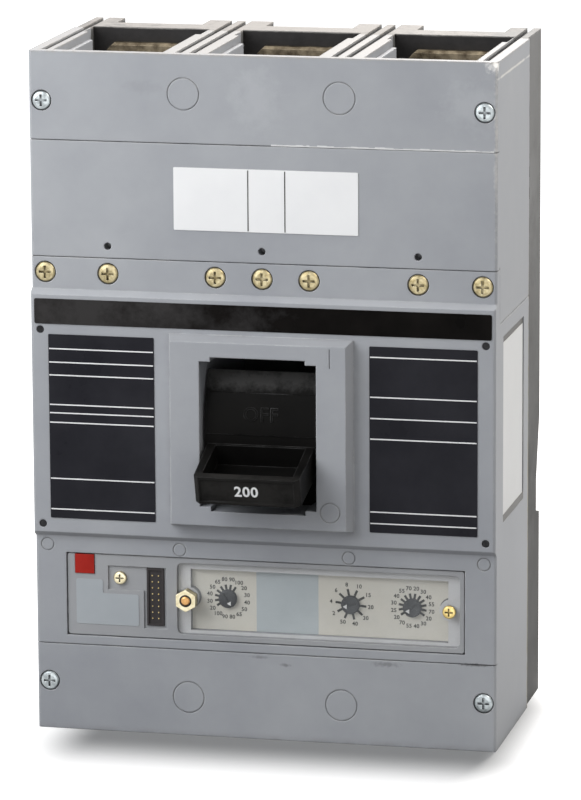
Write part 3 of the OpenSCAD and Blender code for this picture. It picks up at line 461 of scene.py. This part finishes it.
blackLook = {**handleLook, "dark": (0.014, 0.014, 0.018), "light": (0.024, 0.024, 0.029),
             "worn": (0.06, 0.06, 0.06), "rough": 0.33, "round": 0.1 * mm, "bump": 0.05, "cloud": 30.0, "gloss": 0.05}
paperLook = {**coverLook, "dark": (0.76, 0.76, 0.77), "light": (0.84, 0.84, 0.84), "worn": (0.7, 0.69, 0.66),
             "soilAndShade": (0.4, 0.38, 0.34), "rough": 0.5, "round": 0.1 * mm, "bump": 0.03, "dirtAndShade": 0.5}
sidePaperLook = {**paperLook, "dark": (0.64, 0.645, 0.65), "light": (0.72, 0.725, 0.73)}
inkLook = {**handleLook, "dark": (0.045, 0.043, 0.04), "light": (0.07, 0.068, 0.064), "round": 0.05 * mm}
greyLabelLook = {**coverLook, "dark": (0.345, 0.37, 0.395), "light": (0.415, 0.44, 0.46), "round": 0.1 * mm,
                 "dirtAndShade": 0.4}
gumShadeLook = {**coverLook, "dark": (0.10, 0.097, 0.092), "light": (0.15, 0.146, 0.14), "round": 0.1 * mm}
bandMarks = (
    mark((-88, -2.5, 174), (95, 5, 25), (0.040, 0.038, 0.038), 60.0, 0.9),  # rubbed grey end
)
bandLook = {**blackLook, "dark": (0.0015, 0.0012, 0.001), "light": (0.006, 0.005, 0.0045), "cloud": 60.0,
            "gloss": 0.03, "marks": bandMarks}
blackLabel = wornFinish("blackLabel", blackLook)
bandFilm = wornFinish("bandFilm", bandLook)
paperLabel = wornFinish("paperLabel", paperLook)
printedInk = wornFinish("printedInk", inkLook)
sidePaper = wornFinish("sidePaper", sidePaperLook)
greyLabel = wornFinish("greyLabel", greyLabelLook)
gumShadeFilm = wornFinish("gumShadeFilm", gumShadeLook)

band = {"x0": -93.7 * mm, "x1": 93.7 * mm, "low": 169.0 * mm, "high": 179.3 * mm, "thick": 0.25 * mm,
        "corner": 0.8 * mm}
bm = bmesh.new()
addLabel(bm, band, raisedY)
finishPiece("bandLabel", bm, bandFilm, "case")

plateSize = {"low": 89.0 * mm, "high": 164.8 * mm, "thick": 0.25 * mm, "corner": 0.4 * mm, "rule": 0.5 * mm,
             "ruleThick": 0.05 * mm, "margin": 0.3 * mm}
plates = {
    "left": {**plateSize, "x0": -88.0 * mm, "x1": -44.2 * mm,
             "rules": (0.078, 0.151, 0.221, 0.381, 0.426, 0.478, 0.784, 0.951)},
    "right": {**plateSize, "x0": 44.2 * mm, "x1": 88.0 * mm, "rules": (0.057, 0.271, 0.385, 0.496, 0.889, 0.951)},
}
for side, plate in plates.items():
    bm = bmesh.new()
    addLabel(bm, plate, raisedY)
    finishPiece(side + "Plate", bm, blackLabel, "case")
    bm = bmesh.new()
    front = raisedY - plate["thick"]
    for share in plate["rules"]:
        z = plate["high"] - share * (plate["high"] - plate["low"])
        addBlock(bm, (plate["x0"] + plate["margin"], front - plate["ruleThick"], z - plate["rule"] / 2),
                 (plate["x1"] - plate["margin"], front, z + plate["rule"] / 2))
    finishPiece(side + "PlateRules", bm, paperLabel, "case")

notice = {"x0": -36.0 * mm, "x1": 39.3 * mm, "low": 208.7 * mm, "high": 234.0 * mm, "thick": 0.25 * mm,
          "corner": 0.4 * mm, "columns": (0.405, 0.605), "rule": 0.45 * mm, "ruleThick": 0.05 * mm,
          "margin": 0.4 * mm}
bm = bmesh.new()
addLabel(bm, notice, faceY)
finishPiece("noticeLabel", bm, paperLabel, "case")
bm = bmesh.new()
front = faceY - notice["thick"]
for share in notice["columns"]:
    x = notice["x0"] + share * (notice["x1"] - notice["x0"])
    addBlock(bm, (x - notice["rule"] / 2, front - notice["ruleThick"], notice["low"] + notice["margin"]),
             (x + notice["rule"] / 2, front, notice["high"] - notice["margin"]))
finishPiece("noticeRules", bm, printedInk, "case")

sideLabel = {"front": 14.0 * mm, "back": 59.0 * mm, "low": 91.5 * mm, "high": 167.5 * mm, "recess": 0.6 * mm,
             "thick": 0.25 * mm, "edge": 1.3 * mm, "border": 2.8 * mm, "gumShade": 0.1 * mm, "lip": 0.56 * mm}
wall = sideX - sideLabel["recess"]
paperX = wall + sideLabel["gumShade"]
span = (faceY + sideLabel["front"], faceY + sideLabel["back"])
paperLow = sideLabel["low"] + sideLabel["border"]
# painted shade: a dark sheet behind the label and a dark band under its lower edge draw the recess's shaded edges,
# along with some adhesive
bm = bmesh.new()
addBlock(bm, (wall, span[0], sideLabel["low"]), (paperX, span[1], sideLabel["high"]))
addBlock(bm, (wall, span[0], sideLabel["low"]), (wall + sideLabel["lip"], span[1], paperLow))
finishPiece("sideLabelGumShade", bm, gumShadeFilm, "case")
bm = bmesh.new()
addBlock(bm, (paperX, span[0] + sideLabel["edge"], paperLow),
         (paperX + sideLabel["thick"], span[1] - sideLabel["edge"], sideLabel["high"] - sideLabel["border"]))
finishPiece("sideLabel", bm, sidePaper, "case")
print("labels done")


# Terminal ends and seams

caseTop = cadBox[1].z
poles = (-polePitch, 0.0, polePitch)
ledge = {"half": 22.7 * mm, "out": 2.0 * mm, "front": 4.0 * mm, "back": 58.0 * mm, "drop": 3.3 * mm,
         "low": 18.0 * mm, "round": 0.3 * mm}
bm = bmesh.new()
for poleX in poles:
    for side in (-1, 1):
        span = sorted((poleX + side * ledge["half"], poleX + side * (ledge["half"] - ledge["out"])))
        for low, high in ((caseTop - ledge["low"], caseTop - ledge["drop"]), (ledge["drop"], ledge["low"])):
            addBlock(bm, (span[0], faceY + ledge["front"], low), (span[1], faceY + ledge["back"], high))
bmesh.ops.bevel(bm, geom=list(bm.edges), offset=ledge["round"], segments=2, profile=0.5, affect="EDGES", material=-1)
finishPiece("cavityLedges", bm, finishes["cover_moulding"], "case")

# painted shade: near-black sheets on the back walls of the terminal cavities, which lie in shadow
cavityShade = {"half": 24.6 * mm, "depth": 74.3 * mm, "thick": 0.25 * mm, "deep": 33.8 * mm, "inset": 0.3 * mm}
cavityShadeLook = {**baseLook, "dark": (0.020, 0.019, 0.019), "light": (0.036, 0.034, 0.034), "cloud": 90.0}
bm = bmesh.new()
for poleX in poles:
    for low, high in ((caseTop - cavityShade["deep"], caseTop - cavityShade["inset"]), (cavityShade["inset"], cavityShade["deep"])):
        addBlock(bm, (poleX - cavityShade["half"], faceY + cavityShade["depth"] - cavityShade["thick"], low),
                 (poleX + cavityShade["half"], faceY + cavityShade["depth"], high))
finishPiece("cavityBackShade", bm, wornFinish("cavityBackShade", cavityShadeLook), "case")

# painted shade: dark sheets lining the walls and floors of the barrier slots, which lie in shade
slots = {"between": 2.9 * mm, "outer": 89.9 * mm, "half": 1.34 * mm, "deep": 6.88 * mm, "shallow": 0.9 * mm,
         "thick": 0.05 * mm, "front": 4.05 * mm, "back": 101.5 * mm}
slotShadeLook = {**baseLook, "dark": (0.055, 0.055, 0.057), "light": (0.09, 0.09, 0.092)}
slotPlaces = [edge + side * slots["between"] for edge in (-polePitch / 2, polePitch / 2) for side in (-1, 1)]
slotPlaces += [-slots["outer"], slots["outer"]]
bm = bmesh.new()
for x in slotPlaces:
    x0, x1 = x - slots["half"], x + slots["half"]
    for floorZ, openZ in ((caseTop - slots["deep"], caseTop - slots["shallow"]), (slots["deep"], slots["shallow"])):
        low, high = sorted((floorZ, openZ))
        lift = slots["thick"] if floorZ < openZ else -slots["thick"]
        sheets = [(x0, x0 + slots["thick"], low, high), (x1 - slots["thick"], x1, low, high),
                  (x0, x1, *sorted((floorZ, floorZ + lift)))]  # two walls and the slot's floor
        for left, right, under, over in sheets:
            addBlock(bm, (left, faceY + slots["front"], under), (right, faceY + slots["back"], over))
finishPiece("slotShade", bm, wornFinish("slotShade", slotShadeLook), "case")

draw = random.Random(11)
# pale strips just above the seam: wear on the cover's edge and a painted highlight along it
seamWearHighlight = {"from": 4 * mm, "to": 94 * mm, "step": (1.0, 4.0), "height": (0.3, 0.75), "thick": 0.05 * mm,
        "lap": 0.1 * mm}
wornLook = {**coverLook, "dark": (0.66, 0.66, 0.67), "light": (0.80, 0.80, 0.80), "dirtAndShade": 0.2}
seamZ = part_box("line_terminal_cover")[0].z
bm = bmesh.new()
x = seamWearHighlight["from"]
while x < seamWearHighlight["to"]:
    stretch = draw.uniform(*seamWearHighlight["step"]) * mm
    high = seamZ + draw.uniform(*seamWearHighlight["height"]) * mm
    addBlock(bm, (x, faceY - seamWearHighlight["thick"], seamZ - seamWearHighlight["lap"]), (min(x + stretch, seamWearHighlight["to"]), faceY, high))
    x += stretch
finishPiece("seamWearAndHighlight", bm, wornFinish("seamWearAndHighlight", wornLook), "case")

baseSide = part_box("base")[1].x
# dark strips down the cover-base seam on both sides: dirt in the joint and painted shade in the gap
dirtAndShade = {"low": 6 * mm, "high": 274 * mm, "change": 150 * mm, "seam": 70.0 * mm, "step": (1.5, 5.0),
        "lowReach": (3.2, 4.9), "highReach": (4.9, 6.4), "thick": 0.04 * mm}
seamDirtShadeLook = {**baseLook, "dark": (0.016, 0.015, 0.014), "light": (0.034, 0.032, 0.03)}
bm = bmesh.new()
for side in (-1, 1):
    z = dirtAndShade["low"]
    while z < dirtAndShade["high"]:
        stretch = draw.uniform(*dirtAndShade["step"]) * mm
        reach = draw.uniform(*(dirtAndShade["lowReach"] if z < dirtAndShade["change"] else dirtAndShade["highReach"])) * mm
        addBlock(bm, (side * baseSide - dirtAndShade["thick"], faceY + dirtAndShade["seam"], z),
                 (side * baseSide + dirtAndShade["thick"], faceY + dirtAndShade["seam"] + reach, z + stretch))
        z += stretch
finishPiece("seamDirtAndShade", bm, wornFinish("seamDirtAndShade", seamDirtShadeLook), "case")
print("terminal ends and seams done")


# Trip unit

tripLabel = {"x0": -78.6 * mm, "stepX": -67.4 * mm, "x1": -52.4 * mm, "low": 44.5 * mm, "stepZ": 57.6 * mm,
             "high": 63.3 * mm, "thick": 0.15 * mm, "corner": 0.9 * mm}
bm = bmesh.new()
corners = [("x0", "low"), ("x1", "low"), ("x1", "stepZ"), ("stepX", "stepZ"), ("stepX", "high"), ("x0", "high")]
outline = [bm.verts.new((tripLabel[x], tripY, tripLabel[z])) for x, z in corners]
raised = bmesh.ops.extrude_face_region(bm, geom=[bm.faces.new(outline)])["geom"]
for v in raised:
    if isinstance(v, bmesh.types.BMVert):
        v.co.y -= tripLabel["thick"]
roundPosts(bm, bm.edges, tripLabel["thick"], tripLabel["corner"], 5)
finishPiece("tripLabel", bm, greyLabel, "case")

# painted light: a pale sheet behind the window lightens its ledges and the bosses, which lie in the shade of the
# recess
ledgeLight = {"side": 5.0 * mm, "top": 2.6 * mm, "low": 1.3 * mm, "bossR": 4.4 * mm, "bossX": 54.0 * mm,
          "thick": 0.04 * mm, "lift": 0.02 * mm}  # lift keeps it clear of the window's back
ledgeLightLook = {**coverLook, "dark": (0.53, 0.532, 0.54), "light": (0.61, 0.612, 0.62), "round": 0.1 * mm, "dirtAndShade": 0.2}
low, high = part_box("dial_window")
middle = (low + high) / 2
backY = paneBackY - ledgeLight["lift"]
frontY = backY - ledgeLight["thick"]
inner = (low.x + ledgeLight["side"], high.x - ledgeLight["side"], low.z + ledgeLight["low"], high.z - ledgeLight["top"])
bm = bmesh.new()
addBlock(bm, (low.x, frontY, low.z), (inner[0], backY, high.z))
addBlock(bm, (inner[1], frontY, low.z), (high.x, backY, high.z))
addBlock(bm, (inner[0], frontY, low.z), (inner[1], backY, inner[2]))
addBlock(bm, (inner[0], frontY, inner[3]), (inner[1], backY, high.z))
for side in (-1, 1):
    addDisc(bm, (middle.x + side * ledgeLight["bossX"], frontY, middle.z), ledgeLight["bossR"], ledgeLight["bossR"],
            ledgeLight["thick"], 40)
finishPiece("windowLedgeLight", bm, wornFinish("windowLedgeLight", ledgeLightLook), "case")

socketPins = {"rows": 8, "columns": 2, "pitch": 2.54 * mm, "side": 0.42 * mm, "reach": 0.5 * mm, "sunk": 0.6 * mm}
low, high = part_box("test_socket")
middle = (low + high) / 2
bm = bmesh.new()
floorY = low.y + socketPins["sunk"]
half = socketPins["side"] / 2
for row in range(socketPins["rows"]):
    for column in range(socketPins["columns"]):
        x = middle.x + (column - (socketPins["columns"] - 1) / 2) * socketPins["pitch"]
        z = middle.z + (row - (socketPins["rows"] - 1) / 2) * socketPins["pitch"]
        addBlock(bm, (x - half, floorY - socketPins["reach"], z - half), (x + half, floorY, z + half))
finishPiece("socketPins", bm, finishes["brass"], "case")

stud = {"r": 1.95 * mm, "taper": 0.7, "crown": 0.5 * mm, "ringR": 2.5 * mm, "ring": 0.06 * mm, "segments": 32}
low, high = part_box("window_standoff")
middle = (low + high) / 2
bm = bmesh.new()
addDisc(bm, (middle.x, low.y - stud["ring"] / 2, middle.z), stud["ringR"], stud["ringR"], stud["ring"],
        stud["segments"])
finishPiece("standoffRing", bm, finishes["dark_steel"], "case")
bm = bmesh.new()
addDisc(bm, (middle.x, low.y - stud["ring"] - stud["crown"] / 2, middle.z), stud["r"], stud["r"] * stud["taper"],
        stud["crown"], stud["segments"])
finishPiece("standoffStud", bm, wornFinish("studCopper", copperLook), "case")

scaleSize = {"inner": 3.6 * mm, "markWidth": 0.95 * mm, "textSize": 2.3 * mm, "bold": 0.022, "thick": 0.06 * mm}
scales = {
    "dial_left": {"numbers": "20 30 40 50 65 80 90 100 20 30 40 50 65 80 90 100", "start": 214.0, "step": 22.5,
                  "marked": 8, "reach": 5.7 * mm, "numberR": 7.9 * mm},
    "dial_middle": {"numbers": "2 4 6 8 10 15 20 30 40 50", "start": 210.0, "step": 36.0,
                    "marked": 10, "reach": 6.4 * mm, "numberR": 8.2 * mm},
    "dial_right": {"numbers": "20 25 30 40 55 70 20 30 40 55 70 20 30 40 55 70", "start": 214.0, "step": 22.5,
                   "marked": 12, "reach": 5.8 * mm, "numberR": 7.9 * mm},
}
for name, scale in scales.items():
    low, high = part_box(name)
    middle = (low + high) / 2
    bm = bmesh.new()
    for i, number in enumerate(scale["numbers"].split()):
        angle = math.radians(scale["start"] - i * scale["step"])
        if i < scale["marked"]:
            place = Matrix.Translation((middle.x, plateY, middle.z)) @ Matrix.Rotation(-angle, 4, "Y")
            verts = addBlock(bm, (scaleSize["inner"], -scaleSize["thick"], -scaleSize["markWidth"] / 2),
                             (scale["reach"], 0, scaleSize["markWidth"] / 2))
            bmesh.ops.transform(bm, matrix=place, verts=verts)
        spot = onFront(middle.x + scale["numberR"] * math.cos(angle), plateY - scaleSize["thick"] / 2,
                       middle.z + scale["numberR"] * math.sin(angle))
        addText(bm, number, scaleSize["textSize"], scaleSize["thick"], spot, scaleSize["bold"])
    finishPiece(name + "Scale", bm, printedInk, "case")

pointer = {"out": 2.0 * mm, "size": 1.1 * mm, "thick": 0.1 * mm,
           "turns": {"dial_left": -63, "dial_middle": 200, "dial_right": 220}}
for name, degrees in pointer["turns"].items():
    low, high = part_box(name)
    middle = (low + high) / 2
    angle = math.radians(degrees)
    spot = onFront(middle.x + pointer["out"] * math.cos(angle), low.y, middle.z + pointer["out"] * math.sin(angle))
    bm = bmesh.new()
    bmesh.ops.create_cone(bm, cap_ends=True, segments=3, radius1=pointer["size"], radius2=pointer["size"],
                          depth=pointer["thick"], matrix=spot @ Matrix.Rotation(math.pi / 2, 4, "Z"))
    finishPiece(name + "Pointer", bm, paperLabel, name)
print("trip unit done")


# Handle lettering

grip = {"front": 70.0 * mm, "recess": 0.6 * mm, "offTurn": math.radians(16.0), "numberSize": 6.2 * mm,
        "bold": 0.026, "drop": 0.35 * mm, "aside": -0.3 * mm, "thick": 0.1 * mm}
tilt = Matrix.Translation(pivot) @ Matrix.Rotation(grip["offTurn"], 4, "X")
bm = bmesh.new()
spot = onFront(grip["aside"], -grip["front"] + grip["recess"], -grip["drop"])
addText(bm, "200", grip["numberSize"], grip["thick"], tilt @ spot, grip["bold"])
finishPiece("gripNumber", bm, paperLabel, "handle")

shutter = {"r": 42.6 * mm, "size": 8.1 * mm, "bold": 0.016, "thick": 0.5 * mm, "offAngle": 25.0, "onAngle": -25.0}
bm = bmesh.new()
for words, degrees in (("OFF", shutter["offAngle"]), ("ON", shutter["onAngle"])):
    swing = Matrix.Rotation(-math.radians(degrees), 4, "X")
    spot = tilt @ swing @ onFront(0, -shutter["r"], 0)
    addText(bm, words, shutter["size"], shutter["thick"], spot, shutter["bold"])
finishPiece("shutterWords", bm, finishes["black_moulding"], "handle")
print("handle lettering done")


# Stage, light and camera

def seenRays(tree, place):
    # 1 for camera, glossy and transmission rays, so that metal and glass show the pale background too
    path = addNode(tree, "ShaderNodeLightPath", place)
    total = path.outputs["Is Camera Ray"]
    for i, ray in enumerate(("Is Glossy Ray", "Is Transmission Ray")):
        both = addNode(tree, "ShaderNodeMath", (place[0] + 180 * (i + 1), place[1]), operation="ADD", use_clamp=True)
        tree.links.new(total, both.inputs[0])
        tree.links.new(path.outputs[ray], both.inputs[1])
        total = both.outputs["Value"]
    return total


# painted shadow: the floor's glow is low next to the object's foot and full further out
floorLook = {"size": 6.0, "colour": (0.5, 0.5, 0.5, 1.0), "rough": 0.9, "centre": (0.011, -0.01, 0.0),
             "half": (0.078, 0.034, 0.0), "fade": (0.03, 0.056, 1.0), "nearGlow": 0.07, "farGlow": 1.0}
bm = bmesh.new()
bmesh.ops.create_grid(bm, x_segments=1, y_segments=1, size=floorLook["size"])
mesh = bpy.data.meshes.new("paleFloor")
bm.to_mesh(mesh)
bm.free()
paleFloor = bpy.data.objects.new("paleFloor", mesh)
bpy.context.scene.collection.objects.link(paleFloor)
floorMaterial, tree, shader = startMaterial("paleFloor")
setInputs(shader, Base_Color=floorLook["colour"], Roughness=floorLook["rough"], Emission_Color=(1, 1, 1, 1))
away = addNode(tree, "ShaderNodeTexCoord", (-1250, -400)).outputs["Object"]
steps = (("SUBTRACT", floorLook["centre"]), ("ABSOLUTE", None), ("SUBTRACT", floorLook["half"]), ("MAXIMUM", None),
         ("DIVIDE", floorLook["fade"]), ("LENGTH", None))  # how far a point lies outside the object's foot
for i, (operation, other) in enumerate(steps):
    step = addNode(tree, "ShaderNodeVectorMath", (-1100 + 140 * i, -400), operation=operation)
    tree.links.new(away, step.inputs[0])
    if other:
        step.inputs[1].default_value = other
    away = step.outputs["Value" if operation == "LENGTH" else "Vector"]
# painted contact shadow: the glow rises from nearGlow at the foot to farGlow beyond the fade
spread = addNode(tree, "ShaderNodeMapRange", (-250, -400), interpolation_type="SMOOTHSTEP")
setInputs(spread, To_Min=floorLook["nearGlow"], To_Max=floorLook["farGlow"])
glow = addNode(tree, "ShaderNodeMath", (200, -200), operation="MULTIPLY")
tree.links.new(away, spread.inputs["Value"])
tree.links.new(seenRays(tree, (-400, -100)), glow.inputs[0])
tree.links.new(spread.outputs["Result"], glow.inputs[1])
tree.links.new(glow.outputs["Value"], shader.inputs["Emission Strength"])
mesh.materials.append(floorMaterial)

worldLook = {"ambient": (0.96, 0.98, 1.0, 1.0), "strength": 0.30, "backdrop": (1, 1, 1, 1)}
world = bpy.data.worlds.new("studioWorld")
bpy.context.scene.world = world
world.use_nodes = True
tree = world.node_tree
ambient = setInputs(tree.nodes["Background"], Color=worldLook["ambient"], Strength=worldLook["strength"])
backdrop = setInputs(addNode(tree, "ShaderNodeBackground", (0, -200)), Color=worldLook["backdrop"], Strength=1.0)
choose = addNode(tree, "ShaderNodeMixShader", (250, 0))
tree.links.new(seenRays(tree, (-200, 300)), choose.inputs["Fac"])
tree.links.new(ambient.outputs["Background"], choose.inputs[1])
tree.links.new(backdrop.outputs["Background"], choose.inputs[2])
tree.links.new(choose.outputs["Shader"], tree.nodes["World Output"].inputs["Surface"])

lamps = {
    "frontLamp": {"place": (-0.42, -0.42, 0.54), "size": 0.6, "power": 5.25, "colour": (0.97, 0.985, 1.0)},
    "sideLamp": {"place": (0.50, -0.03, 0.76), "size": 0.4, "power": 4.0, "colour": (1.0, 0.965, 0.91)},
    "fillLamp": {"place": (0.14, -1.15, 0.08), "size": 0.5, "power": 2.9, "colour": (1.0, 1.0, 1.0)},
    "topLamp": {"place": (0.08, 0.85, 0.95), "size": 0.4, "power": 15.5, "colour": (1.0, 0.97, 0.93)},
}
aim = Vector((0, 0, 0.14))
spared = bpy.data.collections.new("sparedFloor")
spared.objects.link(paleFloor)
spared.collection_objects[0].light_linking.link_state = "EXCLUDE"
for name, lamp in lamps.items():
    light = bpy.data.lights.new(name, "AREA")
    light.energy = lamp["power"]
    light.color = lamp["colour"]
    light.size = lamp["size"]
    holder = bpy.data.objects.new(name, light)
    holder.location = lamp["place"]
    holder.rotation_euler = (aim - holder.location).to_track_quat("-Z", "Y").to_euler()
    bpy.context.scene.collection.objects.link(holder)
    if name != "topLamp":  # only the top lamp draws the floor's contact shadow
        holder.light_linking.receiver_collection = spared

shot = {"place": (0.4672, faceY - 1.982, 0.5649), "yaw": 0.22605, "pitch": 0.20541, "roll": -0.0055,
        "focalPixels": 5194.2, "imageHeight": 800.0, "sensor": 24.0}
level = math.cos(shot["pitch"])
ahead = Vector((-math.sin(shot["yaw"]) * level, math.cos(shot["yaw"]) * level, -math.sin(shot["pitch"])))
right = Vector((math.cos(shot["yaw"]), math.sin(shot["yaw"]), 0.0))
upward = right.cross(ahead)
right, upward = (math.cos(shot["roll"]) * right + math.sin(shot["roll"]) * upward,
                 math.cos(shot["roll"]) * upward - math.sin(shot["roll"]) * right)
lens = bpy.data.cameras.new("photoCamera")
lens.sensor_fit = "VERTICAL"
lens.sensor_height = shot["sensor"]
lens.lens = shot["focalPixels"] / shot["imageHeight"] * shot["sensor"]
photoCamera = bpy.data.objects.new("photoCamera", lens)
facing = Matrix((right, upward, -ahead)).transposed().to_4x4()
photoCamera.matrix_world = Matrix.Translation(shot["place"]) @ facing
bpy.context.scene.collection.objects.link(photoCamera)
bpy.context.scene.camera = photoCamera
bpy.context.scene.view_settings.view_transform = "Standard"
print("stage, lamps and camera done")
